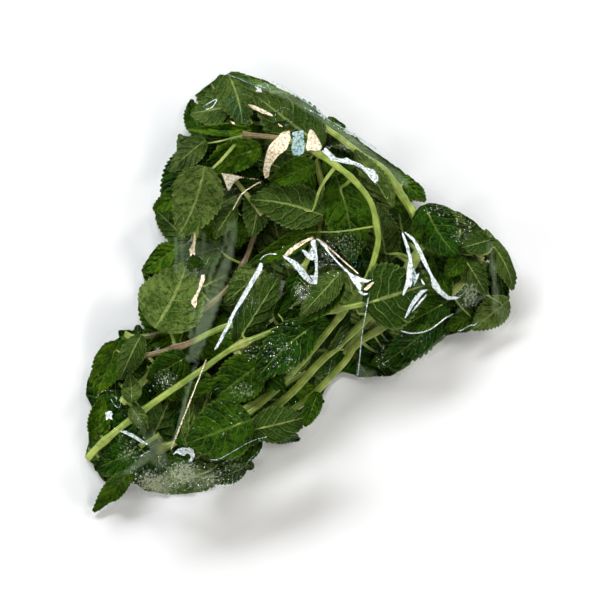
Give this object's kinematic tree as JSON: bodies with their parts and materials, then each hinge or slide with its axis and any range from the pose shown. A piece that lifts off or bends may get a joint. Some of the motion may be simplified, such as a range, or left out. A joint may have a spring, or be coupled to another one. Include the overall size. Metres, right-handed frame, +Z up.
{
  "type": "bunch of mint in a film bag",
  "caption": "Cut leafy sprigs of fresh mint pressed flat together in a clear film bag with vent holes, lying on a flat underside",
  "frame": {"origin": "Middle of the bag's flat underside, on the surface that it lies on", "axes": "+Z up out of the heap of leaves, +X to the right and +Y to the top of the picture, which looks down on the bag"},
  "size_m": [0.1783, 0.1832, 0.0376],
  "materials": {
    "mint_leaf": "satin",
    "clear_film": "gloss"
  },
  "bodies": {
    "root": {"sprig_under_low": "mint_leaf", "sprig_under_left": "mint_leaf", "sprig_under_top": "mint_leaf", "sprig_under_centre": "mint_leaf", "sprig_under_right": "mint_leaf", "sprig_left_cut": "mint_leaf", "sprig_upper_left": "mint_leaf", "sprig_right": "mint_leaf", "sprig_top": "mint_leaf", "sprig_middle": "mint_leaf", "sprig_left_low": "mint_leaf", "sprig_low_left": "mint_leaf", "sprig_arch": "mint_leaf", "sprig_long": "mint_leaf", "sprig_bottom": "mint_leaf", "film_bag": "clear_film"}
  },
  "joints": []
}
